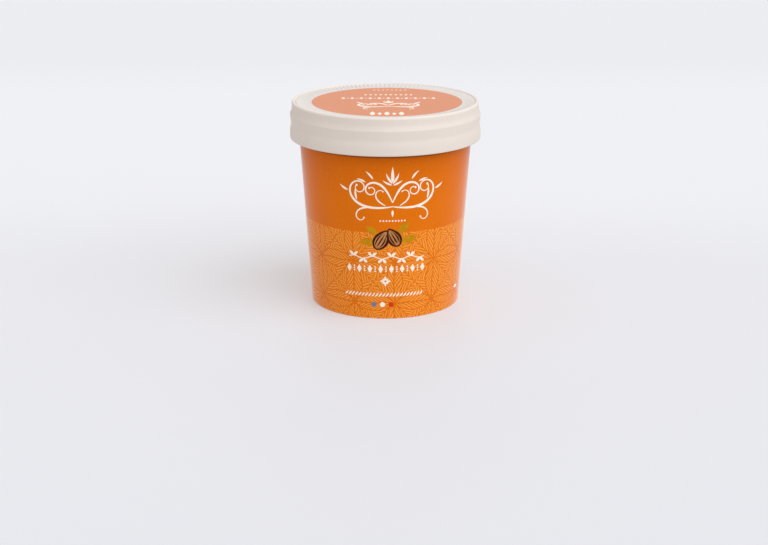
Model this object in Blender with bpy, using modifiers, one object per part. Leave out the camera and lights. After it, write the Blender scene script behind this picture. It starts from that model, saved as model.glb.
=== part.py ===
"""A small single-serve ice cream tub with its lid on, in printed paperboard.

The tapered tub stands on the rolled foot of its wall, with the base board set up inside that foot. Its top
edge is rolled out into a rim. The lid is a pleated pan, held in a side band that fits tightly over the rim.
Everything is turned about +Z, and the origin is the middle of the foot's underside. Lengths are in metres.
"""
import math

import bpy

MM = 0.001

# The tub: the board's thickness, the tapered wall, and the roll at its top edge.
BOARD = 0.45 * MM
CLEARANCE = 0.30 * MM
FOOT_RADIUS = 24.9 * MM
WALL_SLOPE = 3.5 / 55.6
FOOT_THICKNESS = 1.6 * MM
FOOT_ROUNDING = 0.35 * MM
BASE_HEIGHT = 5.0 * MM
BASE_BOARD = 0.5 * MM
ROLL_HEIGHT = 63.0 * MM
ROLL_OFFSET = 0.48 * MM
ROLL_HALF_WIDTH = 1.35 * MM
ROLL_HALF_HEIGHT = 2.2 * MM

# The lap down the back of the wall, where one end of the board is glued over the other.
LAP_HEIGHT = 0.35 * MM
LAP_FADE_DEGREES = 22.0
LAP_EDGE_DEGREES = 0.8
LAP_TOP = 60.0 * MM

# The lid's side band, from its crown down to its hemmed lower edge.
LID_RADIUS = 31.5 * MM
LID_TOP = 67.8 * MM
LID_LOWER_EDGE = 55.6 * MM
NECK_RADIUS = 30.8 * MM
NECK_FOOT = 65.5 * MM
BULGE_TOP = 63.5 * MM
BULGE_FOOT = 61.5 * MM
GROOVE_HEIGHT = 60.8 * MM
GROOVE_RADIUS = 31.1 * MM
GROOVE_FOOT = 60.1 * MM
HEM_THICKNESS = 0.9 * MM
HEM_TOP = 58.0 * MM
HEM_ROUNDING = 0.35 * MM
CROWN_RADIUS = 0.65 * MM

# The lid's pan: a flat panel, a pleated slope up to the crown and a short flange down to the tub's rim.
PANEL_HEIGHT = 66.8 * MM
PANEL_RADIUS = 26.1 * MM
PAN_BOARD = 0.4 * MM
SLOPE_RISE = 0.6 * MM
FLANGE_RADIUS = 29.2 * MM
FLANGE_ROUNDING = 0.3 * MM
PLEATS = 120
PLEAT_HEIGHT = 0.12 * MM

TURN_STEPS = 64


def wall_radius(height):
    """The outer radius of the tapered wall at a height above the foot."""
    return FOOT_RADIUS + WALL_SLOPE * height


def arc(centre, half_width, half_height, start, stop, steps):
    """Points along part of an ellipse, with its angles in degrees from +X towards +Z."""
    points = []
    for step in range(steps + 1):
        angle = math.radians(start + (stop - start) * step / steps)
        points.append((centre[0] + half_width * math.cos(angle), centre[1] + half_height * math.sin(angle)))
    return points


def ease(start, stop, steps):
    """Points between two ends of a wall that leaves and arrives upright, without the ends themselves."""
    points = []
    for step in range(1, steps):
        share = step / steps
        across = share * share * (3 - 2 * share)
        points.append((start[0] + (stop[0] - start[0]) * across, start[1] + (stop[1] - start[1]) * share))
    return points


def board_material(name, colour, roughness):
    """A matt board finish in one colour."""
    material = bpy.data.materials.new(name)
    material.use_nodes = True
    shader = material.node_tree.nodes["Principled BSDF"]
    shader.inputs["Base Color"].default_value = (*colour, 1.0)
    shader.inputs["Roughness"].default_value = roughness
    shader.inputs["Metallic"].default_value = 0.0
    return material


def turned(name, profile, closed, steps, material, collection):
    """A solid turned about Z from a profile whose outer side runs down from top to bottom."""
    mesh = bpy.data.meshes.new(name)
    edges = [(i, i + 1) for i in range(len(profile) - 1)]
    if closed:
        edges.append((len(profile) - 1, 0))
    mesh.from_pydata([(radius, 0.0, height) for radius, height in profile], edges, [])
    piece = bpy.data.objects.new(name, mesh)
    collection.objects.link(piece)
    screw = piece.modifiers.new("Turn", "SCREW")
    screw.axis = "Z"
    screw.angle = math.tau
    screw.steps = steps
    screw.render_steps = steps
    screw.use_merge_vertices = True
    screw.merge_threshold = 0.00001
    freeze(piece)
    piece.data.materials.append(material)
    return piece


def freeze(piece):
    """Gives the object the mesh that its modifiers make, shaded smooth between its creases."""
    depsgraph = bpy.context.evaluated_depsgraph_get()
    made = bpy.data.meshes.new_from_object(piece.evaluated_get(depsgraph))
    outline = piece.data
    piece.modifiers.clear()
    piece.data = made
    bpy.data.meshes.remove(outline)
    made.name = piece.name
    made.shade_smooth()
    made.set_sharp_from_angle(angle=math.radians(40))


def tub_profile():
    """The tub's section: level top, rolled rim, tapered wall, foot, and the recess for the base board."""
    foot_inside = FOOT_RADIUS - FOOT_THICKNESS
    recess_top = BASE_HEIGHT + BASE_BOARD + CLEARANCE
    rounding = FOOT_ROUNDING
    roll_centre = (wall_radius(ROLL_HEIGHT) + ROLL_OFFSET, ROLL_HEIGHT)
    points = [(0.0, ROLL_HEIGHT + ROLL_HALF_HEIGHT)]
    points += arc(roll_centre, ROLL_HALF_WIDTH, ROLL_HALF_HEIGHT, 90, -115, 9)
    points += arc((FOOT_RADIUS - rounding, rounding), rounding, rounding, 0, -90, 2)
    points += arc((foot_inside + rounding, rounding), rounding, rounding, -90, -180, 2)
    points += [(foot_inside, recess_top), (0.0, recess_top)]
    return points


def lap_wall(tub):
    """Raises the wall towards the glued edge at the back, and steps it down again just past that edge."""
    column = 360.0 / TURN_STEPS
    for vertex in tub.data.vertices:
        radius = math.hypot(vertex.co.x, vertex.co.y)
        if vertex.co.z > LAP_TOP or radius < FOOT_RADIUS - FOOT_ROUNDING * 1.01:
            continue
        past_edge = math.degrees(math.atan2(-vertex.co.x, vertex.co.y))
        if -LAP_FADE_DEGREES < past_edge < column / 2:
            raised = radius + LAP_HEIGHT * (1 + min(past_edge, 0.0) / LAP_FADE_DEGREES)
            vertex.co.x *= raised / radius
            vertex.co.y *= raised / radius
        elif column / 2 < past_edge < column * 1.5:
            angle = math.radians(LAP_EDGE_DEGREES)
            vertex.co.x = -radius * math.sin(angle)
            vertex.co.y = radius * math.cos(angle)


def band_profile():
    """The side band's section, once round: crown, neck, bulge over the rim, groove and lower hem."""
    crown = (NECK_RADIUS - CROWN_RADIUS, LID_TOP - CROWN_RADIUS)
    inside = LID_RADIUS - BOARD
    hem_inside = LID_RADIUS - HEM_THICKNESS
    lip_under = LID_TOP - HEM_THICKNESS
    rounding = HEM_ROUNDING
    points = arc(crown, CROWN_RADIUS, CROWN_RADIUS, 180, 0, 6)
    points.append((NECK_RADIUS, NECK_FOOT))
    points += ease((NECK_RADIUS, NECK_FOOT), (LID_RADIUS, BULGE_TOP), 4)
    points += [(LID_RADIUS, BULGE_TOP), (LID_RADIUS, BULGE_FOOT)]
    points += [(GROOVE_RADIUS, GROOVE_HEIGHT), (LID_RADIUS, GROOVE_FOOT)]
    points += arc((LID_RADIUS - rounding, LID_LOWER_EDGE + rounding), rounding, rounding, 0, -90, 2)
    points += [(hem_inside, LID_LOWER_EDGE), (hem_inside, HEM_TOP), (inside, HEM_TOP + BOARD)]
    points += [(inside, GROOVE_FOOT), (GROOVE_RADIUS - BOARD, GROOVE_HEIGHT), (inside, BULGE_FOOT)]
    points.append((inside, BULGE_TOP))
    points += ease((inside, BULGE_TOP), (NECK_RADIUS - BOARD, NECK_FOOT), 3)
    points += [(NECK_RADIUS - BOARD, NECK_FOOT), (NECK_RADIUS - BOARD, lip_under)]
    points.append((crown[0] - CROWN_RADIUS, lip_under))
    return points


def pan_profile():
    """The pan's section: flat panel, slope, flange down to just over the tub's rim, and back underneath."""
    slope_end = (FLANGE_RADIUS - FLANGE_ROUNDING, PANEL_HEIGHT + SLOPE_RISE)
    flange_foot = ROLL_HEIGHT + ROLL_HALF_HEIGHT + CLEARANCE
    inside = FLANGE_RADIUS - BOARD
    points = [(0.0, PANEL_HEIGHT), (PANEL_RADIUS, PANEL_HEIGHT)]
    points.append(((PANEL_RADIUS + slope_end[0]) / 2, PANEL_HEIGHT + SLOPE_RISE * 0.42))
    points += [slope_end, (FLANGE_RADIUS, slope_end[1] - FLANGE_ROUNDING)]
    points += [(FLANGE_RADIUS, flange_foot), (inside, flange_foot)]
    points += [(inside, slope_end[1] - FLANGE_ROUNDING - PAN_BOARD)]
    points += [(PANEL_RADIUS, PANEL_HEIGHT - PAN_BOARD), (0.0, PANEL_HEIGHT - PAN_BOARD)]
    return points


def pleat_slope(pan):
    """Folds the slope into radial pleats, deepening from the panel's edge out to the crown."""
    slope_end = FLANGE_RADIUS - FLANGE_ROUNDING
    for vertex in pan.data.vertices:
        radius = math.hypot(vertex.co.x, vertex.co.y)
        if radius < PANEL_RADIUS * 1.001 or vertex.co.z < PANEL_HEIGHT - PAN_BOARD:
            continue
        fold = math.cos(PLEATS * math.atan2(vertex.co.y, vertex.co.x))
        depth = min((radius - PANEL_RADIUS) / (slope_end - PANEL_RADIUS), 1.0)
        vertex.co.z += PLEAT_HEIGHT * fold * depth


def build():
    """Clears the scene and makes the tub, its base board and the two pieces of its lid."""
    for old in list(bpy.data.objects):
        bpy.data.objects.remove(old, do_unlink=True)
    collection = bpy.data.collections.new("ice_cream_tub")
    bpy.context.scene.collection.children.link(collection)
    printed = board_material("printed_board", (0.73, 0.19, 0.02), 0.45)
    plain = board_material("plain_board", (0.75, 0.70, 0.66), 0.6)
    white = board_material("lid_band_board", (0.78, 0.71, 0.66), 0.5)
    pan_board = board_material("lid_pan_board", (0.78, 0.35, 0.20), 0.45)

    tub = turned("tub", tub_profile(), False, TURN_STEPS, printed, collection)
    lap_wall(tub)
    base_radius = FOOT_RADIUS - FOOT_THICKNESS - CLEARANCE
    base_top = BASE_HEIGHT + BASE_BOARD
    base_profile = [(0.0, base_top), (base_radius, base_top), (base_radius, BASE_HEIGHT), (0.0, BASE_HEIGHT)]
    turned("base_board", base_profile, False, TURN_STEPS, plain, collection)
    turned("lid_band", band_profile(), True, TURN_STEPS, white, collection)
    pan = turned("lid_pan", pan_profile(), False, 2 * PLEATS, pan_board, collection)
    pleat_slope(pan)


build()
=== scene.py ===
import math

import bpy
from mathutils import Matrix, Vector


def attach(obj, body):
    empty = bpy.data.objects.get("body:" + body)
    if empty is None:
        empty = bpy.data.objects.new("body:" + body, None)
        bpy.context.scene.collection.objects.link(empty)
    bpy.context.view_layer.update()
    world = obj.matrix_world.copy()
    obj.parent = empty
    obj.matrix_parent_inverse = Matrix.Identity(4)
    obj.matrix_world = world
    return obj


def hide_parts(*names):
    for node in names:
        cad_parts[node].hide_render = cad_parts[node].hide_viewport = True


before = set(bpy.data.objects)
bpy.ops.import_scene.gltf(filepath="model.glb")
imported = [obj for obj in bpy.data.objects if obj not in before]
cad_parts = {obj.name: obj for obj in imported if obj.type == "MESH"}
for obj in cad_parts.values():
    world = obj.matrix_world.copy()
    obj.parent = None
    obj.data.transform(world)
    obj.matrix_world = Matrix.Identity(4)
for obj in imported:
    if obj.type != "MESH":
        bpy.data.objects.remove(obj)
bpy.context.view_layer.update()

# A small shut ice cream tub of printed paperboard, standing on a pale studio floor.
# The tub's foot stands on z = 0, its printed front faces -Y, and lengths are in metres.
# Angles round the tub are in degrees from the front, positive towards +X.

MM = 0.001

# The tub
FOOT_RADIUS = 24.9 * MM
WALL_SLOPE = 3.5 / 55.6
FOOT_THICKNESS = 1.6 * MM
FOOT_ROUNDING = 0.35 * MM
BASE_HEIGHT = 5.0 * MM
BASE_BOARD = 0.5 * MM
CLEARANCE = 0.3 * MM
ROLL_HEIGHT = 63.0 * MM
ROLL_OFFSET = 0.48 * MM
ROLL_HALF_WIDTH = 1.35 * MM
ROLL_HALF_HEIGHT = 2.2 * MM
WALL_TOP = 60.5 * MM
WALL_ROWS = 34
WALL_COLUMNS = 480
BASE_COLUMNS = 240
LAP_HEIGHT = 0.35 * MM
LAP_FADE = 22.0
LAP_EDGE = 0.14

# The lid's side band
BOARD = 0.45 * MM
LID_RADIUS = 31.5 * MM
LID_TOP = 67.8 * MM
LID_LOWER_EDGE = 55.6 * MM
NECK_RADIUS = 30.8 * MM
NECK_FOOT = 65.3 * MM
RIDGE_RADIUS = 31.42 * MM
RIDGE_HEIGHT = 63.5 * MM
RIDGE_ROUNDING = 0.22 * MM
RIDGE_TILT = 26
RIDGE_UNDERCUT = 5
GROOVE_RADIUS = 31.14 * MM
GROOVE_HEIGHT = 60.5 * MM
SWELL_FOOT = 57.2 * MM
HEM_THICKNESS = 0.9 * MM
HEM_TOP = 58.0 * MM
HEM_ROUNDING = 0.35 * MM
CROWN_RADIUS = 0.65 * MM
BAND_COLUMNS = 480
BAND_LAP_HEIGHT = 0.16 * MM
BAND_LAP_FADE = 14.0
BAND_LAP_TURN = 17.0
BAND_WANDER = 5.0
WANDER_MIDDLE = 62.2
WANDER_REACH = 4.5

# The lid's pleated pan
PANEL_HEIGHT = 67.08 * MM
PANEL_RADIUS = 26.1 * MM
SLOPE_RISE = 0.42 * MM
FLANGE_RADIUS = 29.48 * MM
FLANGE_ROUNDING = 0.1 * MM
PAN_BOARD = 0.4 * MM
PLEATS = 120
PLEAT_HEIGHT = 0.2 * MM
PAN_COLUMNS = 960

# The wall's print and its painted shade, in millimetres: heights above the foot, and sizes along the
# wall
# Heights where the painted shade of the lid on the wall begins and is deepest
LID_SHADE_FROM = 38.0
LID_SHADE_DEEPEST = 56.0
# Heights of the dark painted shade just under the lid's edge
GAP_SHADE_FROM = 54.1
GAP_SHADE_AT = 55.0
PATTERN_TOP = 29.7
SOFT_EDGE = 0.12
TILES_ROUND = 12
TILE_HEIGHT = 14.0
VEIN_SPACING = 0.84
VEIN_SLANT = 1.7
PATTERN_TURN = 0.28
PATTERN_RISE = 0.1
SCROLLWORK_FOOT = 37.3
FINE_DOTS_HEIGHT = 33.7
GARLAND_HEIGHT = 21.2
DIAMONDS_HEIGHT = 17.3
STAR_HEIGHT = 13.1
ROPE_HEIGHT = 8.5
THREE_DOTS_HEIGHT = 5.0
ROWS_MIDDLE = 0.2
SCROLL_MIDDLE = 2.3
BACK_TURN = 122
SIDE_MARK_TURN = 67
SIDE_MARK_HEIGHT = 6.6

# The ink's thickness
INK_SINK = 0.03 * MM
INK_LIFT = 0.03 * MM
INK_STEP = 0.0015 * MM

# The lid's print in millimetres
DISC_RADIUS = 24.8
DISC_SHIFT = 0.5
DISC_EDGE = 0.08
LID_MIDDLE = 1.0

# The paper's slight unevenness
WAVE_HEIGHT = 0.05 * MM
WAVE_SCALE = 55.0
CREASE_ANGLE = 35

# Colours as a screen shows them, from 0 to 255, in pairs where a finish drifts between two
ORANGE = ((220, 107, 0), (227, 113, 1))
# Painted shade that darkens the wall towards the lid
LID_SHADE_ORANGE = (202, 91, 0)
PATTERN_ORANGE = ((219, 109, 9), (246, 153, 58))
BRIGHT_GRAIN = (250, 150, 20)
# Painted shade, dark brown, just under the lid's edge
GAP_SHADE_BROWN = (108, 36, 3)
RAW_BOARD = (226, 206, 190)
WORN_BOARD = (246, 205, 170)
BAND_WHITE = ((223, 212, 201), (232, 220, 208))
BAND_FIBRE = (204, 184, 172)
BAND_LOW = (206, 184, 168)
# Painted highlight on the band's rounded crown
BAND_CROWN_HIGHLIGHT = (250, 243, 234)
PAN_WHITE = ((219, 212, 207), (227, 220, 214))
PAN_FIBRE = (206, 192, 182)
# Painted highlight on the pan's raised pleats
PAN_PLEAT_HIGHLIGHT = (250, 244, 238)
DISC_ORANGE = ((216, 123, 72), (222, 130, 80))
DISC_FIBRE = (240, 190, 150)
BASE_WHITE = ((228, 219, 206), (236, 228, 217))
BASE_FIBRE = (203, 187, 168)
BASE_SPECK = (160, 138, 116)
FLOOR_WHITE = ((190, 191, 196), (192, 193, 198))
# Painted light on the floor behind the tub
FLOOR_LIT_BEHIND = (198, 199, 204)
INKS = {
    "cream_white_ink": ((250, 236, 217), (255, 245, 230)),
    "leaf_ink": ((190, 127, 6), (203, 143, 14)),
    "kernel_ink": ((176, 114, 62), (200, 140, 86)),
    "brown_line_ink": ((60, 20, 6), (76, 28, 10)),
    "blue_grey_ink": ((120, 122, 146), (130, 132, 156)),
    "red_orange_ink": ((214, 58, 14), (226, 66, 18)),
}

# The studio
FLOOR_REACH = 3.0
FLOOR_HEIGHT = -0.00002
FLOOR_GLOW = 0.26
ROOM_COLOUR = (1.0, 0.955, 0.94, 1.0)
ROOM_STRENGTH = 0.64
# Turn from the front, height and width in degrees, then strength and colour
KEY_LIGHT = (46.0, 48.0, 66.0, 1.78, (0.87, 0.94, 1.0))
BACK_LIGHT = (180.0, 20.0, 50.0, 0.25, (1.0, 0.98, 0.97))
CAMERA_LENS = 70.3
CAMERA_RISE = 17.405
CAMERA_TARGET = (-0.000441, 0.0, 0.008048)
CAMERA_DISTANCE = 0.5115


class Wire:
    """One socket of a node, which Python's own signs can reckon with."""

    def __init__(self, nodes, socket):
        self.nodes = nodes
        self.socket = socket

    def reckon(self, operation, *others):
        """The Math node of this name, with this wire as its first value."""
        values = dict(enumerate((self, *others)))
        return self.nodes.add("ShaderNodeMath", {"operation": operation}, values)

    def beside(self, name):
        """Another output of the same node."""
        return Wire(self.nodes, self.socket.node.outputs[name])

    def __add__(self, other):
        return self.reckon("ADD", other)

    __radd__ = __add__

    def __sub__(self, other):
        return self.reckon("SUBTRACT", other)

    def __rsub__(self, other):
        return self.reckon("MULTIPLY", -1.0) + other

    def __mul__(self, other):
        return self.reckon("MULTIPLY", other)

    __rmul__ = __mul__

    def __truediv__(self, other):
        return self.reckon("DIVIDE", other)

    def __mod__(self, other):
        return self.reckon("FLOORED_MODULO", other)

    def __pow__(self, other):
        return self.reckon("POWER", other)

    def __abs__(self):
        return self.reckon("ABSOLUTE")

    def __lt__(self, other):
        return self.reckon("LESS_THAN", other)

    def __gt__(self, other):
        return self.reckon("GREATER_THAN", other)


class Nodes:
    """A node tree that is being laid out, for a finish or for a shape."""

    def __init__(self, tree):
        self.tree = tree
        self.tree.nodes.clear()

    def add(self, kind, settings=None, sockets=None, output=0):
        """A node with its settings and its sockets' values or wires. Gives one of its outputs."""
        node = self.tree.nodes.new(kind)
        for name, value in (settings or {}).items():
            setattr(node, name, value)
        for name, value in (sockets or {}).items():
            socket = self.find(node, name)
            if isinstance(value, Wire):
                self.tree.links.new(value.socket, socket)
            else:
                socket.default_value = value
        return Wire(self, node.outputs[output]) if node.outputs else None

    def find(self, node, name):
        """A node's input by its place, or by its name among those that its settings leave in use."""
        if isinstance(name, int):
            return node.inputs[name]
        named = [socket for socket in node.inputs if socket.name == name]
        in_use = [socket for socket in named if socket.enabled]
        return (in_use or named)[0]


# Working colours and fields shared by the finishes


def from_screen(colour):
    """A colour as a screen shows it in the linear values that nodes work in."""
    linear = []
    for value in colour:
        share = value / 255
        if share <= 0.04045:
            linear.append(share / 12.92)
        else:
            linear.append(((share + 0.055) / 1.055) ** 2.4)
    return (*linear, 1.0)


def mix_colours(nodes, share, first, second):
    """The first colour where share is 0 and the second where it is 1."""
    return nodes.add("ShaderNodeMix", {"data_type": "RGBA"}, {0: share, 6: first, 7: second}, 2)


def drift(nodes, share, pair):
    """A colour between the two of a pair."""
    return mix_colours(nodes, share, from_screen(pair[0]), from_screen(pair[1]))


def tint(nodes, share, colour, other):
    """A colour turned towards another one by a share."""
    return mix_colours(nodes, share, colour, from_screen(other))


def ramp_up(nodes, value, low, high, kind="SMOOTHSTEP"):
    """0 below low, 1 above high, and smooth between unless kind says otherwise."""
    sockets = {"Value": value, "From Min": low, "From Max": high}
    return nodes.add("ShaderNodeMapRange", {"interpolation_type": kind}, sockets)


def scaled_place(nodes, place, scale):
    """A place multiplied by a scale for each axis, for grain that is longer one way."""
    return nodes.add("ShaderNodeVectorMath", {"operation": "MULTIPLY"}, {0: place, 1: scale})


def speckle(nodes, place, scale, detail, roughness=0.55):
    """Noise from about 0.25 to 0.75 at a scale in patches per metre."""
    sockets = {"Vector": place, "Scale": scale, "Detail": detail, "Roughness": roughness}
    return nodes.add("ShaderNodeTexNoise", {"noise_dimensions": "3D"}, sockets)


def measure(nodes, place, axis):
    """One of a place's three measures, in millimetres."""
    parts = nodes.add("ShaderNodeSeparateXYZ", sockets={0: place})
    return parts.beside(axis) * 1000


def new_finish(name):
    """An empty material, its nodes and the point's place on the object."""
    material = bpy.data.materials.new(name)
    material.use_nodes = True
    nodes = Nodes(material.node_tree)
    return material, nodes, nodes.add("ShaderNodeTexCoord", output=3)


def close_finish(nodes, colour, roughness, bump, gloss=0.5, sheen=0.0, glow=0.0):
    """A finish's shader, with its mirror gloss, its sheen towards the edges and its own glow."""
    sockets = {
        "Base Color": colour,
        "Roughness": roughness,
        "Normal": bump,
        "Specular IOR Level": gloss,
        "Sheen Weight": sheen,
        "Sheen Roughness": 0.3,
        "Emission Strength": glow,
    }
    shader = nodes.add("ShaderNodeBsdfPrincipled", sockets=sockets)
    nodes.add("ShaderNodeOutputMaterial", sockets={"Surface": shader})


def board_bump(nodes, place, strength):
    """The fine fibre and the soft unevenness of coated board, as a bump."""
    fibre = speckle(nodes, scaled_place(nodes, place, (1.0, 1.0, 0.45)), 2600.0, 4.0)
    swell = speckle(nodes, place, 240.0, 2.0)
    height = fibre * 0.35 + swell * 0.65
    sockets = {"Strength": strength, "Distance": 0.06 * MM, "Height": height}
    return nodes.add("ShaderNodeBump", sockets=sockets)


# The finishes


def leaf_pattern(nodes, place, across, depth, height):
    """A common pattern of overlapping circles, veined like leaves that meet in stars, from 0 to 1."""
    turn = across.reckon("ARCTAN2", depth * -1.0)
    hand = (speckle(nodes, place, 260.0, 2.0) - 0.5) * 0.1
    wobble = (speckle(nodes, place, 800.0, 2.0) - 0.5) * 0.5
    column = turn * (TILES_ROUND / math.tau) + PATTERN_TURN + hand
    row = height / TILE_HEIGHT + PATTERN_RISE - hand
    odd = (column.reckon("FLOOR") + row.reckon("FLOOR")) % 2.0
    wide = abs(column % 1.0 * 2 - 1)
    tall = abs(row % 1.0 * 2 - 1)
    far = wide.reckon("MAXIMUM", tall)
    near = wide.reckon("MINIMUM", tall)
    reach = (far - 1.0) ** 2.0 + (near + 1.0) ** 2.0
    leaf = 1 - ramp_up(nodes, reach, 1.95, 2.01)
    spread = TILE_HEIGHT / 2 / VEIN_SPACING / math.hypot(1, VEIN_SLANT)
    diagonal = math.sqrt(0.5)
    along = far + odd * (2 - 2 * far)
    straight_veins = ((along - near * VEIN_SLANT) * spread + wobble) % 1.0
    reached = far + near
    along = reached + odd * (4 - 2 * reached)
    slant_veins = ((along - (far - near) * VEIN_SLANT) * (spread * diagonal) + wobble) % 1.0
    straight_vein = ramp_up(nodes, abs(straight_veins - 0.5), 0.1, 0.3)
    slant_vein = ramp_up(nodes, abs(slant_veins - 0.5), 0.1, 0.3)
    lines = straight_vein * leaf + slant_vein * (1 - leaf)
    edge = ramp_up(nodes, abs(reach - 1.98), 0.03, 0.1)
    spine = ramp_up(nodes, near, 0.01, 0.05) * ramp_up(nodes, far - near, 0.01, 0.05)
    return lines * edge * spine


def printed_wall_finish():
    """Board printed orange, with a tonal pattern up to a level edge and a pale raw lap edge, and painted
    shade that darkens it towards the lid and just under the lid's edge.
    """
    material, nodes, place = new_finish("printed_orange_board")
    across, depth, height = [measure(nodes, place, axis) for axis in "XYZ"]
    blotch = speckle(nodes, place, 90.0, 2.0)
    grain = ramp_up(nodes, speckle(nodes, place, 2600.0, 2.0), 0.35, 0.7)
    upper = drift(nodes, blotch, ORANGE)
    # Painted shade: the orange darkens upwards towards the lid, standing in for the lid's shadow on the
    # wall
    upper = tint(nodes, ramp_up(nodes, height, LID_SHADE_FROM, LID_SHADE_DEEPEST) * 0.45, upper, LID_SHADE_ORANGE)
    veined = leaf_pattern(nodes, place, across, depth, height)
    lower = drift(nodes, veined, PATTERN_ORANGE)
    below = 1 - ramp_up(nodes, height, PATTERN_TOP - SOFT_EDGE, PATTERN_TOP + SOFT_EDGE)
    colour = mix_colours(nodes, below, upper, lower)
    colour = tint(nodes, grain * 0.16, colour, BRIGHT_GRAIN)

    # Painted shade: a dark brown line on the wall just under the lid's edge, standing in for the shadow
    # in the narrow space beneath it
    under_lid_shade = ramp_up(nodes, height, GAP_SHADE_FROM, GAP_SHADE_AT) * 0.8
    colour = tint(nodes, under_lid_shade, colour, GAP_SHADE_BROWN)

    past = across.reckon("ARCTAN2", depth) * (180 / math.pi)
    raw = (past > -LAP_EDGE * 0.9) * (past < 0.02) * (height < WALL_TOP / MM) * (depth > 20.0)
    colour = tint(nodes, raw, colour, RAW_BOARD)

    cracks = speckle(nodes, place, 1500.0, 3.0)
    worn = (1 - ramp_up(nodes, height, 0.1, 0.55)) * ramp_up(nodes, cracks, 0.52, 0.62)
    colour = tint(nodes, worn * 0.55, colour, WORN_BOARD)

    roughness = 0.36 + 0.1 * blotch + 0.12 * worn
    close_finish(nodes, colour, roughness, board_bump(nodes, place, 0.22), gloss=0.06, sheen=1.0)
    return material


def lid_band_finish():
    """Off-white coated board, browner along its lower edge, and paler on its crown as a painted
    highlight.
    """
    material, nodes, place = new_finish("off_white_coated_board")
    height = measure(nodes, place, "Z")
    patch = speckle(nodes, scaled_place(nodes, place, (1.0, 1.0, 2.5)), 60.0, 3.0)
    fibre = speckle(nodes, scaled_place(nodes, place, (1.0, 1.0, 3.0)), 1900.0, 4.0)
    colour = drift(nodes, patch, BAND_WHITE)
    colour = tint(nodes, ramp_up(nodes, fibre, 0.5, 0.75) * 0.22, colour, BAND_FIBRE)
    low = 1 - ramp_up(nodes, height, LID_LOWER_EDGE / MM, LID_LOWER_EDGE / MM + 0.7)
    colour = tint(nodes, low * 0.25, colour, BAND_LOW)
    # Painted highlight: the crown is paler, standing in for light caught on its rounded top
    crown = ramp_up(nodes, height, LID_TOP / MM - 0.9, LID_TOP / MM - 0.2)
    colour = tint(nodes, crown * 0.35, colour, BAND_CROWN_HIGHLIGHT)
    roughness = 0.42 + 0.12 * patch
    close_finish(nodes, colour, roughness, board_bump(nodes, place, 0.3), gloss=0.25)
    return material


def lid_panel_finish():
    """The pan's off-white board with its pale orange printed disc, and a painted highlight on its raised
    pleats.
    """
    material, nodes, place = new_finish("printed_lid_panel_board")
    aside = measure(nodes, place, "X") - DISC_SHIFT
    depth = measure(nodes, place, "Y")
    above = measure(nodes, place, "Z") - PANEL_HEIGHT / MM
    patch = speckle(nodes, place, 70.0, 3.0)
    fibre = speckle(nodes, place, 2200.0, 4.0)
    board = drift(nodes, patch, PAN_WHITE)
    board = tint(nodes, ramp_up(nodes, fibre, 0.5, 0.75) * 0.2, board, PAN_FIBRE)
    ink = drift(nodes, patch, DISC_ORANGE)
    ink = tint(nodes, fibre * 0.14, ink, DISC_FIBRE)
    reach = (aside * aside + depth * depth) ** 0.5
    inked = 1 - ramp_up(nodes, reach, DISC_RADIUS - DISC_EDGE, DISC_RADIUS + DISC_EDGE)
    colour = mix_colours(nodes, inked * (above > -0.25), board, ink)
    # Painted highlight: the pan is paler where it rises on the pleats, so that their valleys read as
    # shaded
    fold = ramp_up(nodes, above, 0.05, 0.5, "LINEAR")
    colour = tint(nodes, fold * 0.12, colour, PAN_PLEAT_HIGHLIGHT)
    roughness = 0.42 + 0.1 * patch
    close_finish(nodes, colour, roughness, board_bump(nodes, place, 0.25))
    return material


def plain_base_finish():
    """The base board: plain, with longer fibres and a few specks."""
    material, nodes, place = new_finish("plain_base_board")
    fibre = speckle(nodes, scaled_place(nodes, place, (0.35, 1.0, 1.0)), 1500.0, 5.0)
    patch = speckle(nodes, place, 90.0, 3.0)
    speck = speckle(nodes, place, 900.0, 2.0)
    colour = drift(nodes, patch, BASE_WHITE)
    colour = tint(nodes, ramp_up(nodes, fibre, 0.45, 0.75) * 0.35, colour, BASE_FIBRE)
    colour = tint(nodes, ramp_up(nodes, speck, 0.7, 0.74) * 0.5, colour, BASE_SPECK)
    close_finish(nodes, colour, 0.62 + 0.1 * fibre, board_bump(nodes, place, 0.45))
    return material


def ink_finish(name, pair):
    """A printed ink between two near colours, as smooth as the board that it is on."""
    material, nodes, place = new_finish(name)
    patch = speckle(nodes, place, 700.0, 3.0)
    colour = drift(nodes, ramp_up(nodes, patch, 0.3, 0.7), pair)
    close_finish(nodes, colour, 0.4 + 0.1 * patch, board_bump(nodes, place, 0.2), gloss=0.07)
    return material


def floor_finish():
    """The studio's pale floor, lit a little from below, with painted light that makes it a little
    brighter behind the tub.
    """
    material, nodes, place = new_finish("pale_studio_floor")
    depth = measure(nodes, place, "Y")
    patch = speckle(nodes, place, 6.0, 2.0)
    colour = drift(nodes, patch, FLOOR_WHITE)
    # Painted light: the floor is brighter behind the tub, where the tub's shadow falls
    behind = ramp_up(nodes, depth, 20.0, 140.0) * (1 - 0.8 * ramp_up(nodes, depth, 350.0, 520.0))
    colour = tint(nodes, behind, colour, FLOOR_LIT_BEHIND)
    bump = board_bump(nodes, place, 0.05)
    close_finish(nodes, colour, 0.55 + 0.05 * patch, bump, gloss=0.2, glow=FLOOR_GLOW)
    return material


# Outlines of the turned pieces, from top to bottom on their outer side


def arc(centre, half_width, half_height, start, stop, steps):
    """Points along part of an ellipse, with its angles in degrees from +X towards +Z."""
    points = []
    for step in range(steps + 1):
        angle = math.radians(start + (stop - start) * step / steps)
        across = centre[0] + half_width * math.cos(angle)
        points.append((across, centre[1] + half_height * math.sin(angle)))
    return points


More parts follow.
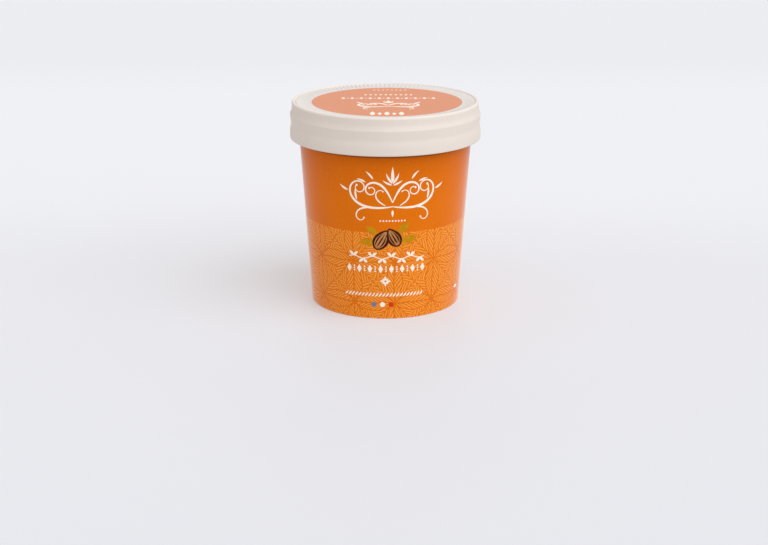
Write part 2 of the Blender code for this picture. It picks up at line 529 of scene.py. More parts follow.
def line(start, end, steps, bend=lambda share: share):
    """Points from start to end, without start. Bend turns each share of the way into one sideways."""
    points = []
    for step in range(1, steps + 1):
        share = step / steps
        across = start[0] + (end[0] - start[0]) * bend(share)
        points.append((across, start[1] + (end[1] - start[1]) * share))
    return points


def ease(start, end, steps, lead=1.0):
    """Points down a wall that leaves and arrives upright, sooner where lead is more."""

    def bend(share):
        early = 1 - (1 - share) ** lead
        return early * early * (3 - 2 * early)

    return line(start, end, steps, bend)


def flare(start, end, steps, power):
    """Points down a wall that leaves upright and leans out more and more."""
    return line(start, end, steps, lambda share: share**power)


def wall_radius(height):
    """The wall's outer radius at a height."""
    return FOOT_RADIUS + WALL_SLOPE * height


def tub_outline():
    """Level top inside the lid, rolled rim, tapered wall, rolled foot and the recess inside it."""
    roll_centre = (wall_radius(ROLL_HEIGHT) + ROLL_OFFSET, ROLL_HEIGHT)
    inside = FOOT_RADIUS - FOOT_THICKNESS
    recess_top = BASE_HEIGHT + BASE_BOARD + CLEARANCE
    points = [(0.0, ROLL_HEIGHT + ROLL_HALF_HEIGHT), (20 * MM, ROLL_HEIGHT + ROLL_HALF_HEIGHT)]
    points += arc(roll_centre, ROLL_HALF_WIDTH, ROLL_HALF_HEIGHT, 90, -115, 22)
    points.append((wall_radius(WALL_TOP), WALL_TOP))
    foot = (wall_radius(FOOT_ROUNDING), FOOT_ROUNDING)
    points += line((wall_radius(WALL_TOP), WALL_TOP), foot, WALL_ROWS)
    centre = (foot[0] - FOOT_ROUNDING, FOOT_ROUNDING)
    points += arc(centre, FOOT_ROUNDING, FOOT_ROUNDING, 0, -90, 5)[1:]
    points += arc((inside + FOOT_ROUNDING, FOOT_ROUNDING), FOOT_ROUNDING, FOOT_ROUNDING, -90, -180, 5)
    points += line((inside, FOOT_ROUNDING), (inside, recess_top), 5)
    points.append((0.0, recess_top))
    return points


def band_outline():
    """Once round the side band's section: crown, neck, ridge, groove, swell, hem, and back up inside."""
    crown = (NECK_RADIUS - CROWN_RADIUS, LID_TOP - CROWN_RADIUS)
    inside = LID_RADIUS - BOARD
    hem_inside = LID_RADIUS - HEM_THICKNESS
    lip_under = LID_TOP - HEM_THICKNESS
    points = arc(crown, CROWN_RADIUS, CROWN_RADIUS, 180, 0, 16)
    points += line((NECK_RADIUS, crown[1]), (NECK_RADIUS, NECK_FOOT), 3)
    ridge = (RIDGE_RADIUS - RIDGE_ROUNDING, RIDGE_HEIGHT)
    bend = arc(ridge, RIDGE_ROUNDING, RIDGE_ROUNDING, RIDGE_TILT, -RIDGE_UNDERCUT, 5)
    points += flare((NECK_RADIUS, NECK_FOOT), bend[0], 9, 1.4)
    points += bend[1:]
    points += line(bend[-1], (GROOVE_RADIUS, GROOVE_HEIGHT), 4)
    points += ease((GROOVE_RADIUS, GROOVE_HEIGHT), (LID_RADIUS, SWELL_FOOT), 14, 1.6)
    points += line((LID_RADIUS, SWELL_FOOT), (LID_RADIUS, LID_LOWER_EDGE + HEM_ROUNDING), 2)
    centre = (LID_RADIUS - HEM_ROUNDING, LID_LOWER_EDGE + HEM_ROUNDING)
    points += arc(centre, HEM_ROUNDING, HEM_ROUNDING, 0, -90, 5)[1:]
    points += [(hem_inside + 0.1 * MM, LID_LOWER_EDGE), (hem_inside, LID_LOWER_EDGE + 0.1 * MM)]
    points += [(hem_inside, HEM_TOP), (inside, HEM_TOP + BOARD), (GROOVE_RADIUS - BOARD, GROOVE_HEIGHT)]
    under_ridge = (RIDGE_RADIUS - BOARD, RIDGE_HEIGHT - 0.1 * MM)
    points += line((GROOVE_RADIUS - BOARD, GROOVE_HEIGHT), under_ridge, 3)
    points += ease(under_ridge, (NECK_RADIUS - BOARD, NECK_FOOT), 6)
    points += [(NECK_RADIUS - BOARD, lip_under), (crown[0] - CROWN_RADIUS, lip_under)]
    return points


def pan_outline():
    """Flat panel, pleated slope, flange and back underneath, with each point's share of the pleats."""
    slope_end = (FLANGE_RADIUS - FLANGE_ROUNDING, PANEL_HEIGHT + SLOPE_RISE)
    flange_foot = ROLL_HEIGHT + ROLL_HALF_HEIGHT + CLEARANCE
    inside = FLANGE_RADIUS - BOARD
    points = [(radius * MM, PANEL_HEIGHT, 0.0) for radius in (0.0, 6.0, 12.0, 18.0, 22.0, 25.0)]
    for step in range(9):
        share = step / 8
        radius = PANEL_RADIUS + (slope_end[0] - PANEL_RADIUS) * share
        rise = SLOPE_RISE * (0.15 * share + 0.85 * share * share)
        points.append((radius, PANEL_HEIGHT + rise, min(1.0, 2.2 * share, 1.7 - 1.2 * share)))
    rounding = (slope_end[0], slope_end[1] - FLANGE_ROUNDING)
    for radius, height in arc(rounding, FLANGE_ROUNDING, FLANGE_ROUNDING, 90, 0, 4)[1:]:
        points.append((radius, height, 0.5))
    points += [(FLANGE_RADIUS, flange_foot, 0.0), (inside, flange_foot, 0.0)]
    points.append((inside, slope_end[1] - FLANGE_ROUNDING - PAN_BOARD, 0.0))
    points += [(PANEL_RADIUS, PANEL_HEIGHT - PAN_BOARD, 0.0), (0.0, PANEL_HEIGHT - PAN_BOARD, 0.0)]
    return points


def base_outline():
    """The base board: a disc with a faint pressed ring near its edge."""
    top = BASE_HEIGHT + BASE_BOARD
    radius = FOOT_RADIUS - FOOT_THICKNESS - 0.04 * MM
    points = [(0.0, top), (radius, top)]
    points += [(radius, BASE_HEIGHT + 0.1 * MM), (radius - 0.1 * MM, BASE_HEIGHT)]
    points += [(21.4 * MM, BASE_HEIGHT), (21.1 * MM, BASE_HEIGHT + 0.12 * MM)]
    points += [(20.5 * MM, BASE_HEIGHT + 0.12 * MM), (20.2 * MM, BASE_HEIGHT), (0.0, BASE_HEIGHT)]
    return points


# Shapes made by Geometry Nodes


def new_tree(name, inputs):
    """An empty Geometry Nodes tree, and the wires of its geometry and named inputs."""
    tree = bpy.data.node_groups.new(name, "GeometryNodeTree")
    tree.interface.new_socket("Geometry", in_out="INPUT", socket_type="NodeSocketGeometry")
    for title, kind in inputs.items():
        tree.interface.new_socket(title, in_out="INPUT", socket_type="NodeSocket" + kind)
    tree.interface.new_socket("Geometry", in_out="OUTPUT", socket_type="NodeSocketGeometry")
    nodes = Nodes(tree)
    first = nodes.add("NodeGroupInput")
    wires = {title: first.beside(title) for title in ("Geometry", *inputs)}
    return nodes, wires


def paper_wave(nodes, nominal, height):
    """How far the board stands out of true at a place, so that the ink follows it too."""
    return (speckle(nodes, nominal, WAVE_SCALE, 1.0, 0.5) - 0.5) * 2 * height


def round_place(nodes, turn, radius, height):
    """A place at a turn from the front in radians, a distance from the axis and a height."""
    across = radius * turn.reckon("SINE")
    depth = radius * turn.reckon("COSINE") * -1.0
    return nodes.add("ShaderNodeCombineXYZ", sockets={0: across, 1: depth, 2: height})


def close_shape(nodes, geometry, material):
    """Ends a tree with real geometry in the given material."""
    real = nodes.add("GeometryNodeRealizeInstances", sockets={"Geometry": geometry})
    done = nodes.add("GeometryNodeSetMaterial", sockets={"Geometry": real, "Material": material})
    nodes.add("NodeGroupOutput", sockets={"Geometry": done})


def turned_board_tree():
    """Turns an outline about Z, with a glued lap, folds where the outline asks, and paper's waves."""
    numbers = ("Lap Height", "Lap Fade", "Lap Edge", "Lap Turn", "Pleats", "Pleat Height", "Wave Height")
    inputs = {"Rows": "Int", "Columns": "Int", **dict.fromkeys(numbers, "Float"), "Board": "Material"}
    nodes, given = new_tree("turned board", inputs)
    sockets = {"Size X": 1.0, "Size Y": 1.0, "Vertices X": given["Columns"] + 1}
    sockets["Vertices Y"] = given["Rows"]
    grid = nodes.add("GeometryNodeMeshGrid", sockets=sockets)
    spot = nodes.add("ShaderNodeSeparateXYZ", sockets={0: nodes.add("GeometryNodeInputPosition")})
    row = ((spot.beside("Y") + 0.5) * (given["Rows"] - 1)).reckon("ROUND")

    def from_outline(kind, value):
        """A field of the outline at this row."""
        settings = {"data_type": kind, "domain": "POINT"}
        sockets = {"Geometry": given["Geometry"], "Value": value, "Index": row}
        return nodes.add("GeometryNodeSampleIndex", settings, sockets)

    def named(title):
        """A named number of the outline's points."""
        return nodes.add("GeometryNodeInputNamedAttribute", {"data_type": "FLOAT"}, {"Name": title})

    outline = from_outline("FLOAT_VECTOR", nodes.add("GeometryNodeInputPosition"))
    outline = nodes.add("ShaderNodeSeparateXYZ", sockets={0: outline})
    lapped = from_outline("FLOAT", named("lapped"))
    folded = from_outline("FLOAT", named("folded"))

    step = given["Columns"] ** -1.0 * 360
    past = (spot + 0.5) * 360
    beside_edge = abs(past - step) < step * 0.5
    past = past + beside_edge * (given["Lap Edge"] - step)
    climb = 1 - (360 - past) / given["Lap Fade"]
    climb = climb.reckon("MAXIMUM", 0.0) + (past < given["Lap Edge"] * 0.5)
    turn = (180 - past + given["Lap Turn"]) * (math.pi / 180)

    true_place = round_place(nodes, turn, outline, outline.beside("Z"))
    wave = paper_wave(nodes, true_place, given["Wave Height"])
    radius = outline + (given["Lap Height"] * lapped * climb + wave) * (outline > 1.0 * MM)
    uneven = speckle(nodes, true_place, 160.0, 1.0, 0.5)
    fold = (turn * given["Pleats"] + uneven * 2.2).reckon("COSINE")
    sharp = 1 - (1 - fold) * 0.5 * ((1 - fold) * 0.5) ** 0.5
    pleat = given["Pleat Height"] * folded * (sharp * 2 - 1) * (0.45 + 1.1 * uneven)
    height = outline.beside("Z") + pleat + wave * folded * 0.6
    there = round_place(nodes, turn, radius, height)
    placed = nodes.add("GeometryNodeSetPosition", sockets={"Geometry": grid, "Position": there})
    sockets = {"Geometry": placed, "Distance": 0.002 * MM}
    closed = nodes.add("GeometryNodeMergeByDistance", sockets=sockets)
    outward = nodes.add("GeometryNodeFlipFaces", sockets={"Mesh": closed})
    close_shape(nodes, outward, given["Board"])
    return nodes.tree


def printed_row_tree():
    """Repeats an ink shape along a line on the flat board, and lays it on the wall or the lid."""
    numbers = ("Every Other Turn", "On Wall", "Board Turn", "Foot Radius", "Wall Slope", "Lid Height")
    inputs = {"Count": "Int", "First": "Vector", "Step": "Vector", **dict.fromkeys(numbers, "Float")}
    inputs.update({"Wave Height": "Float", "Ink": "Material"})
    nodes, given = new_tree("printed row", inputs)
    sockets = {"Count": given["Count"], "Start Location": given["First"], "Offset": given["Step"]}
    spots = nodes.add("GeometryNodeMeshLine", {"mode": "OFFSET"}, sockets)
    number = nodes.add("GeometryNodeInputIndex")
    turned = nodes.add("ShaderNodeCombineXYZ", sockets={2: number % 2.0 * given["Every Other Turn"]})
    sockets = {"Points": spots, "Instance": given["Geometry"], "Rotation": turned}
    shapes = nodes.add("GeometryNodeInstanceOnPoints", sockets=sockets)
    flat = nodes.add("GeometryNodeRealizeInstances", sockets={"Geometry": shapes})
    spot = nodes.add("ShaderNodeSeparateXYZ", sockets={0: nodes.add("GeometryNodeInputPosition")})
    up = spot.beside("Y")
    out = spot.beside("Z")
    wall = given["Foot Radius"] + given["Wall Slope"] * up
    turn = spot / wall + given["Board Turn"]
    true_place = round_place(nodes, turn, wall, up)
    wave = paper_wave(nodes, true_place, given["Wave Height"])
    on_wall = round_place(nodes, turn, wall + out + wave, up)
    on_lid = nodes.add("ShaderNodeCombineXYZ", sockets={0: spot, 1: up, 2: out + given["Lid Height"]})
    sockets = {0: given["On Wall"], 4: on_lid, 5: on_wall}
    there = nodes.add("ShaderNodeMix", {"data_type": "VECTOR"}, sockets, 1)
    placed = nodes.add("GeometryNodeSetPosition", sockets={"Geometry": flat, "Position": there})
    close_shape(nodes, placed, given["Ink"])
    return nodes.tree


def bare_mesh(name, points, faces):
    """A mesh of points and faces."""
    mesh = bpy.data.meshes.new(name)
    mesh.from_pydata(points, [], faces)
    return mesh


def in_scene(name, data):
    """A new object of the scene."""
    thing = bpy.data.objects.new(name, data)
    bpy.context.scene.collection.objects.link(thing)
    return thing


def made_by(tree, mesh, name, values):
    """Runs a tree on a mesh, with 0 for inputs not named, and gives a plain object."""
    maker = in_scene(name, mesh)
    modifier = maker.modifiers.new("Shape", "NODES")
    modifier.node_group = tree
    for item in tree.interface.items_tree:
        if item.in_out == "INPUT" and item.name in values:
            modifier[item.identifier] = values[item.name]
    maker.update_tag()
    depsgraph = bpy.context.evaluated_depsgraph_get()
    made = bpy.data.meshes.new_from_object(maker.evaluated_get(depsgraph))
    maker.modifiers.remove(modifier)
    maker.data = made
    bpy.data.meshes.remove(mesh)
    made.name = name
    made.shade_smooth()
    made.set_sharp_from_angle(angle=math.radians(CREASE_ANGLE))
    return maker


def outline_mesh(points, lapped, folded):
    """An outline as bare points that carry how much each follows the lap and the pleats."""
    mesh = bare_mesh("outline", [(point[0], 0.0, point[1]) for point in points], [])
    for title, values in (("lapped", lapped), ("folded", folded)):
        mesh.attributes.new(title, "FLOAT", "POINT").data.foreach_set("value", values)
    return mesh


def turned_board(tree, name, points, board, values, lapped=None, folded=None):
    """One turned piece of board, with how much each point follows the lap and the pleats."""
    none = [0.0] * len(points)
    common = {"Rows": len(points), "Lap Fade": LAP_FADE, "Lap Edge": LAP_EDGE, "Board": board}
    mesh = outline_mesh(points, lapped or none, folded or none)
    return made_by(tree, mesh, name, {**common, **values})


# Pen and brush strokes, in millimetres on the flat board


def curl(start, heading, length, bend, power, steps, early=0.0):
    """A line that sets out at a heading in degrees and winds up more and more tightly."""
    turn = math.radians(heading)
    points = [start]
    step = length / steps
    for number in range(steps):
        share = (number + 0.5) / steps
        turn += (early * (1 - share) + bend * share**power) * step
        last = points[-1]
        points.append((last[0] + step * math.cos(turn), last[1] + step * math.sin(turn)))
    return points


def straight(start, end, steps):
    """A straight line of points, both ends included."""
    return [start] + line(start, end, steps)


def leant(share, peak):
    """A share of a stroke's length turned so that peak comes half way."""
    return share ** (math.log(0.5) / math.log(peak))


def pen(thick, thin, peak=0.3):
    """The width along a pen stroke that swells and thins again."""
    return lambda share: thin + (thick - thin) * math.sin(math.pi * leant(share, peak)) ** 2


def petal(thick, peak=0.4):
    """The width along a petal, pointed at both ends."""
    return lambda share: 0.03 + thick * math.sin(math.pi * leant(share, peak))


def disc(thick):
    """The width along a round dot."""
    return lambda share: 0.02 + thick * math.sqrt(max(0.0, 1 - (2 * share - 1) ** 2))


def lozenge(thick):
    """The width along a diamond."""
    return lambda share: 0.04 + thick * (1 - abs(2 * share - 1))


def kernel_width(thick):
    """The width along an almond."""

    def width(share):
        if share <= 0 or share >= 1:
            return 0.02
        return thick * math.sin(math.pi * share**0.8) ** 0.75

    return width


class Ink:
    """Strokes of one colour beside an upright middle line, each a thin closed slab on a flat board."""

    def __init__(self, middle=0.0, foot=0.0):
        self.middle = middle
        self.foot = foot
        self.points = []
        self.faces = []
        self.count = 0

    def stroke(self, spine, width, across=2, lift=0.0):
        """Lays one stroke along a line, with the given width at each share of its length."""
        lengths = [0.0]
        for first, second in zip(spine, spine[1:]):
            lengths.append(lengths[-1] + math.dist(first, second))
        top = INK_LIFT + lift * MM + INK_STEP * (self.count % 7)
        base = len(self.points)
        side = across + 1
        for level in (top, -INK_SINK):
            for number, (x, y) in enumerate(spine):
                before = spine[max(number - 1, 0)]
                after = spine[min(number + 1, len(spine) - 1)]
                long = math.dist(before, after)
                normal = (-(after[1] - before[1]) / long, (after[0] - before[0]) / long)
                half = width(lengths[number] / lengths[-1]) / 2
                for share in range(side):
                    aside = half * (1 - 2 * share / across)
                    place = ((x + normal[0] * aside) * MM, (y + normal[1] * aside) * MM, level)
                    self.points.append(place)
        rows = len(spine)
        sheet = rows * side

        def face(corners, turned):
            """One face, from corners by row, column and level."""
            picked = [base + level * sheet + row * side + column for row, column, level in corners]
            self.faces.append(picked[::-1] if turned else picked)

        for row in range(rows - 1):
            for column in range(across):
                for level in (0, 1):
                    near = [(row, column, level), (row, column + 1, level)]
                    face(near + [(row + 1, column + 1, level), (row + 1, column, level)], level)
            for column, turned in ((0, False), (across, True)):
                near = [(row, column, 0), (row + 1, column, 0)]
                face(near + [(row + 1, column, 1), (row, column, 1)], turned)
        for row, turned in ((0, True), (rows - 1, False)):
            for column in range(across):
                near = [(row, column, 0), (row, column + 1, 0)]
                face(near + [(row, column + 1, 1), (row, column, 1)], turned)
        self.count += 1

    def dot(self, x, y, size):
        """A round dot."""
        spine = []
        for step in range(17):
            spine.append((x - size / 2 * math.cos(math.pi * step / 16), y))
        self.stroke(spine, disc(size), 4)

    def both(self, start, way, width, ball=0.0):
        """A curl on each side of the middle line, with a round dot at its end if asked."""
        points = curl((self.middle + start[0], self.foot + start[1]), *way)
        for side in (points, [(2 * self.middle - x, y) for x, y in points]):
            self.stroke(side, width)
            if ball:
                self.dot(*side[-1], ball)

    def upright(self, low, high, steps, width, across=2):
        """A straight stroke up the middle line."""
        ends = [(self.middle, self.foot + height) for height in (low, high)]
        self.stroke(straight(*ends, steps), width, across)

    def mesh(self):
        """The strokes as one mesh."""
        mesh = bare_mesh("ink", self.points, self.faces)
        mesh.validate()
        return mesh


def scrollwork(middle, foot):
    """A symmetrical spray of scrolls and small leaves over a low foot."""
    ink = Ink(middle, foot)
    ink.both((0, 1.2), (-10, 30.0, 0.86, 2.1, 110, 0.03), pen(0.78, 0.3, 0.32), 0.7)
    ink.both((0, 2.5), (66, 20.5, -1.0, 1.55, 90), pen(0.7, 0.28, 0.34), 0.66)
    ink.both((5.6, 0.7), (4, 11.5, -0.95, 1.45, 60), pen(0.5, 0.25, 0.35), 0.55)
    ink.both((2.3, 1.5), (30, 8.2, 0.95, 1.3, 50), pen(0.46, 0.24, 0.35), 0.5)
    ink.both((11.6, 3.2), (75, 4.2, 0.25, 1, 20), petal(0.62))
    ink.both((14.6, 6.2), (20, 3.4, 0.3, 1, 20), petal(0.66))
    ink.upright(9.2, 14.4, 24, petal(1.0, 0.35))
    ink.both((0.1, 8.8), (52, 4.0, 0.22, 1, 20), petal(0.68))
    ink.both((0.2, 8.3), (20, 3.4, 0.25, 1, 20), petal(0.56))
    ink.both((6.2, 10.2), (55, 3.6, -0.25, 1, 20), petal(0.6))
    ink.both((8.6, 9.2), (25, 3.2, -0.25, 1, 20), petal(0.56))
    ink.upright(0.0, -2.3, 16, petal(0.7, 0.4))
    return ink.mesh()


def small_star(x, y, size):
    """Eight petals round a point, long and short by turns."""
    ink = Ink()
    for number in range(8):
        angle = math.pi * number / 4 + math.pi / 2
        reach = size if number % 2 == 0 else size * 0.72
        ends = [(x + far * math.cos(angle), y + far * math.sin(angle)) for far in (reach * 0.16, reach)]
        ink.stroke(straight(*ends, 12), petal(0.66, 0.55))
    return ink.mesh()


def dots(size, heights=(0.0,)):
    """Round dots, one over another."""
    ink = Ink()
    for height in heights:
        ink.dot(0.0, height, size)
    return ink.mesh()


def upright(tall, width, steps):
    """One upright stroke about the origin."""
    ink = Ink()
    ink.upright(-tall / 2, tall / 2, steps, width, 4)
    return ink.mesh()


def diamond(wide, tall):
    """A diamond about the origin."""
    return upright(tall, lozenge(wide), 10)


def upright_leaf(wide, tall):
    """An upright leaf about the origin."""
    return upright(tall, petal(wide, 0.45), 16)


def leaf_pair():
    """Two small leaves from one point of a wavy stem."""
    ink = Ink()
    for heading, bend in ((48, -0.35), (128, 0.35)):
        ink.stroke(curl((-0.1, 0.4), heading, 2.0, bend, 1.0, 14), petal(0.85, 0.5))
    return ink.mesh()


def slanted_leaf():
    """A small leaf that leans to the right, for a rope border."""
    ink = Ink()
    ink.stroke(curl((-0.5, -0.75), 42, 1.85, 0.55, 1.0, 14), petal(0.44, 0.45))
    return ink.mesh()


def wavy_stem(start, end, height, waves):
    """The garland's stem."""
    ink = Ink()
    points = []
    steps = 20 * waves
    for step in range(steps + 1):
        share = step / steps
        rise = 0.42 * math.sin(math.pi * share * waves)
        points.append((start + (end - start) * share, height + rise))
    ink.stroke(points, pen(0.3, 0.3))
    return ink.mesh()


def short_dash(length, thick):
    """A short level dash with round ends at the origin."""
    ink = Ink()
    ink.stroke(straight((-length / 2, 0.0), (length / 2, 0.0), 10), pen(thick, thick * 0.8, 0.5))
    return ink.mesh()


def ruled_frame(left, right, low, high, thick):
    """A plain frame of four rules."""
    ink = Ink()
    corners = [(left, low), (right, low), (right, high), (left, high)]
    for first, second in zip(corners, corners[1:] + corners[:1]):
        steps = max(2, round(math.dist(first, second) / 0.8))
        ink.stroke(straight(first, second, steps), pen(thick, thick))
    return ink.mesh()


def kernels():
    """Two almonds on four leaves: their bodies, their drawn lines and the leaves."""
    bodies = Ink()
    lines = Ink()
    leaves = Ink()
    kernel_places = ((-1.3, 27.3, 60, 1.14), (2.7, 28.1, 120, 1.05))
    for x, y, heading, size in kernel_places:
        angle = math.radians(heading)
        along = (math.cos(angle), math.sin(angle))
        long = 6.2 * size
        wide = kernel_width(3.7 * size)
        spine = []
        for step in range(31):
            reach = long * (step / 30 - 0.5)
            spine.append((x + reach * along[0], y + reach * along[1]))
        bodies.stroke(spine, wide, 8, 0.02)

        def beside(share):
            points = []
            for step, (px, py) in enumerate(spine):
                aside = wide(step / 30) * share
                points.append((px - aside * along[1], py + aside * along[0]))
            return points

        for share in (0.5, -0.5):
            lines.stroke(beside(share), pen(0.8, 0.44, 0.5), 2, 0.04)
        for share in (-0.27, 0.0, 0.27):
            lines.stroke(beside(share)[4:26], petal(0.46, 0.4), 2, 0.04)
    leaf_places = (
        (-3.2, 26.4, 176, 5.4, 2.6),
        (-2.6, 29.0, 142, 4.8, 2.3),
        (4.6, 26.9, 8, 6.2, 2.7),
        (3.9, 29.5, 40, 5.4, 2.6),
    )
    for x, y, heading, long, wide in leaf_places:
        leaves.stroke(curl((x, y), heading, long, 0.06, 1, 24), petal(wide, 0.45), 6)
    return bodies.mesh(), lines.mesh(), leaves.mesh()


class Printer:
    """Lays ink shapes on the wall or the lid with one tree."""

    def __init__(self, tree):
        self.tree = tree

    def lay(self, mesh, ink, count=1, first=(0.0, 0.0), pitch=0.0, other=0.0, turn=0.0, on_wall=1.0):
        """Lays a shape once or in a level row. First and pitch are in millimetres."""
        values = {
            "Count": count,
            "First": (first[0] * MM, first[1] * MM, 0.0),
            "Step": (pitch * MM, 0.0, 0.0),
            "Every Other Turn": math.radians(other),
            "On Wall": on_wall,
            "Board Turn": math.radians(turn),
            "Foot Radius": FOOT_RADIUS,
            "Wall Slope": WALL_SLOPE,
            "Lid Height": PANEL_HEIGHT,
            "Wave Height": WAVE_HEIGHT,
            "Ink": ink,
        }
        return made_by(self.tree, mesh, "ink_row", values)

    def row(self, mesh, ink, middle, height, pitch=1.0, count=1, **more):
        """A level row of one shape about a middle."""
        first = (middle - pitch * (count - 1) / 2, height)
        return self.lay(mesh, ink, count, first, pitch, **more)


def settle(piece, node):
    """Puts a finished piece on the model's one body."""
    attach(piece, "root")
    if node:
        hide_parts(node)


def print_piece(name, parts, ink):
    """Joins several rows of one ink into one finished piece."""
    points = []
    faces = []
    for part in parts:
        mesh = part.data
        base = len(points)
        points += [tuple(vertex.co) for vertex in mesh.vertices]
        faces += [[base + corner for corner in face.vertices] for face in mesh.polygons]
        bpy.data.objects.remove(part)
        bpy.data.meshes.remove(mesh)
    mesh = bare_mesh(name, points, faces)
    mesh.materials.append(ink)
    mesh.shade_smooth()
    mesh.set_sharp_from_angle(angle=math.radians(CREASE_ANGLE))
    settle(in_scene(name, mesh), None)


# The board pieces


def make_boards():
    """The tub, its base board and the two pieces of the lid."""
    tree = turned_board_tree()

    points = tub_outline()
    outer = FOOT_RADIUS - FOOT_ROUNDING * 1.1
    lapped = [float(height < WALL_TOP and radius > outer) for radius, height in points]
    values = {"Columns": WALL_COLUMNS, "Lap Height": LAP_HEIGHT, "Wave Height": WAVE_HEIGHT}
    tub = turned_board(tree, "tub_wall", points, printed_wall_finish(), values, lapped)
    settle(tub, "tub")

    values = {"Columns": BASE_COLUMNS}
    base = turned_board(tree, "base_disc", base_outline(), plain_base_finish(), values)
    settle(base, "base_board")

    points = band_outline()
    points.append(points[0])
    lapped = [float(radius > NECK_RADIUS - 0.2 * MM) for radius, height in points]
    values = {
        "Columns": BAND_COLUMNS,
        "Lap Height": BAND_LAP_HEIGHT,
        "Lap Fade": BAND_LAP_FADE,
        "Lap Turn": BAND_LAP_TURN,
        "Wave Height": WAVE_HEIGHT * 0.8,
    }
    wander = []
    for radius, height in points:
        middle = 1 - abs(height / MM - WANDER_MIDDLE) / WANDER_REACH
        wander.append(BAND_WANDER * max(0.0, min(1.0, 2 * middle)))
    band = turned_board(tree, "lid_side_band", points, lid_band_finish(), values, lapped, wander)
    settle(band, "lid_band")

    outline = pan_outline()
    points = [(radius, height) for radius, height, fold in outline]
    folded = [fold for radius, height, fold in outline]
    values = {"Columns": PAN_COLUMNS, "Pleats": float(PLEATS), "Pleat Height": PLEAT_HEIGHT}
    pan = turned_board(tree, "lid_pleated_pan", points, lid_panel_finish(), values, folded=folded)
    settle(pan, "lid_pan")


# The print


def make_print():
    """The ornaments on the front and the lid, and the plain panel at the back."""
    printer = Printer(printed_row_tree())
    inks = [ink_finish(name, pair) for name, pair in INKS.items()]
    white, leaf, kernel, brown, blue_grey, red = inks

    spray = printer.lay(scrollwork(SCROLL_MIDDLE, SCROLLWORK_FOOT), white)
    print_piece("front_scrollwork", [spray], white)

    middle = ROWS_MIDDLE
    start = middle - 12.2
    end = middle + 12.8
    rows = [
        printer.row(dots(0.55), white, SCROLL_MIDDLE, FINE_DOTS_HEIGHT, pitch=0.98, count=9),
        printer.lay(wavy_stem(start, end, GARLAND_HEIGHT, 8), white),
        printer.row(leaf_pair(), white, middle + 0.3, GARLAND_HEIGHT, pitch=3.125, count=8, other=180),
        printer.row(diamond(1.55, 2.7), white, middle, DIAMONDS_HEIGHT, pitch=3.5, count=8),
        printer.row(dots(0.52, (-0.74, 0.0, 0.74)), white, middle, DIAMONDS_HEIGHT, pitch=3.5, count=7),
        printer.lay(small_star(middle - 0.2, STAR_HEIGHT, 1.75), white),
        printer.row(slanted_leaf(), white, middle - 0.8, ROPE_HEIGHT, pitch=1.14, count=23),
    ]
    print_piece("front_rows", rows, white)

    bodies, lines, leaves = kernels()
    print_piece("front_leaves", [printer.lay(leaves, leaf)], leaf)
    print_piece("front_kernels", [printer.lay(bodies, kernel)], kernel)
    print_piece("front_kernel_lines", [printer.lay(lines, brown)], brown)

    for name, ink, across in (("blue", blue_grey, -3.7), ("white", white, -0.9), ("red", red, 1.9)):
        spot = printer.row(dots(1.7), ink, across, THREE_DOTS_HEIGHT)
        print_piece("front_dot_" + name, [spot], ink)

    at_back = {"turn": BACK_TURN}
    back = [printer.lay(ruled_frame(-15.0, 15.0, 8.0, 46.0, 0.28), white, **at_back)]
    for number in range(9):
        height = 42.5 - 3.1 * number
        dashes = printer.row(short_dash(1.5, 0.34), white, -1.2, height, pitch=2.3, count=11, **at_back)
        back.append(dashes)
    back.append(printer.row(dots(0.6), white, 0.0, 11.8, pitch=1.6, count=15, **at_back))
    back.append(printer.row(diamond(2.8, 1.4), white, 0.0, SIDE_MARK_HEIGHT, turn=SIDE_MARK_TURN))
    back.append(printer.row(dots(0.7), white, 0.0, 4.2, pitch=1.5, count=3, **at_back))
    print_piece("back_panel", back, white)

    lid = []
    for mesh, across, height, pitch, count in (
        (dots(0.9), LID_MIDDLE + 0.5, 20.5, 1.5, 8),
        (diamond(1.0, 2.2), LID_MIDDLE, 11.8, 1.7, 10),
        (diamond(1.5, 3.0), LID_MIDDLE, 5.6, 3.0, 11),
        (dots(0.75), LID_MIDDLE, 5.6, 3.0, 10),
        (lid_spray(LID_MIDDLE, -8.4), 0.0, 0.0, 0.0, 1),
        (upright_leaf(1.7, 5.6), DISC_SHIFT, -20.0, 4.6, 3),
        (upright_leaf(1.3, 3.6), DISC_SHIFT, -20.4, 4.6, 2),
    ):
        lid.append(printer.row(mesh, white, across, height, pitch, count, on_wall=0.0))
    print_piece("lid_ornament", lid, white)


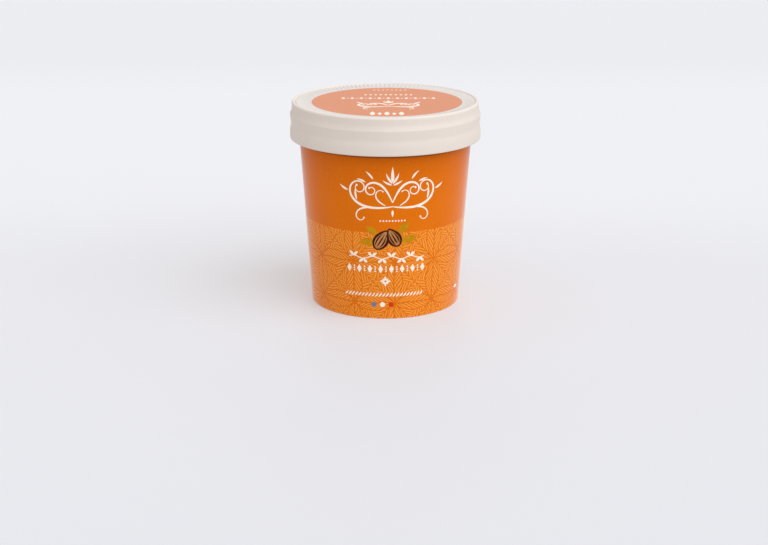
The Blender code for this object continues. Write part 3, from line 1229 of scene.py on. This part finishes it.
def lid_spray(middle, foot):
    """A low pair of scrolls with leaves for the middle of the lid."""
    ink = Ink(middle, foot)
    ink.both((0, 0), (-14, 19.0, 1.05, 1.9, 80, 0.02), pen(1.2, 0.45, 0.35), 1.0)
    ink.both((0, 1.6), (58, 12.5, -1.35, 1.5, 60), pen(1.1, 0.4, 0.35), 0.95)
    ink.both((4.4, -0.9), (-8, 6.5, -1.1, 1.4, 40), pen(0.85, 0.35, 0.35), 0.8)
    ink.both((0.1, 5.6), (55, 3.4, 0.25, 1, 16), petal(1.0))
    ink.both((8.4, 5.0), (40, 3.2, 0.3, 1, 16), petal(1.0))
    ink.upright(5.4, 10.0, 20, petal(1.5, 0.35), 4)
    return ink.mesh()


# The studio


def make_studio():
    """The floor, the pale surroundings, the lights and the camera."""
    corners = []
    for across, depth in ((-1, -1), (1, -1), (1, 1), (-1, 1)):
        corners.append((across * FLOOR_REACH, depth * FLOOR_REACH, FLOOR_HEIGHT))
    mesh = bare_mesh("studio_floor", corners, [(0, 1, 2, 3)])
    mesh.materials.append(floor_finish())
    floor = in_scene("studio_floor", mesh)

    world = bpy.data.worlds.new("pale_room")
    bpy.context.scene.world = world
    world.use_nodes = True
    air = world.node_tree.nodes["Background"]
    air.inputs["Color"].default_value = ROOM_COLOUR
    air.inputs["Strength"].default_value = ROOM_STRENGTH

    add_soft_light("key_light", *KEY_LIGHT)
    add_soft_light("back_light", *BACK_LIGHT)

    rise = math.radians(CAMERA_RISE)
    away = Vector((0.0, -math.cos(rise), math.sin(rise)))
    lens = bpy.data.cameras.new("photo_camera")
    lens.lens = CAMERA_LENS
    lens.sensor_width = 36.0
    lens.clip_start = 0.01
    lens.clip_end = 20.0
    camera = in_scene("photo_camera", lens)
    camera.location = Vector(CAMERA_TARGET) + away * CAMERA_DISTANCE
    camera.rotation_euler = (-away).to_track_quat("-Z", "Y").to_euler()
    bpy.context.scene.camera = camera
    bpy.context.scene.view_settings.view_transform = "Standard"


def add_soft_light(name, azimuth, elevation, width, strength, colour):
    """A far light that is as wide as an angle, and so soft."""
    turn = math.radians(azimuth)
    rise = math.radians(elevation)
    level = math.cos(rise)
    towards = Vector((math.sin(turn) * level, -math.cos(turn) * level, math.sin(rise)))
    data = bpy.data.lights.new(name, "SUN")
    data.angle = math.radians(width)
    data.energy = strength
    data.color = colour
    light = in_scene(name, data)
    light.location = towards
    light.rotation_euler = (-towards).to_track_quat("-Z", "Y").to_euler()


make_boards()
make_print()
make_studio()
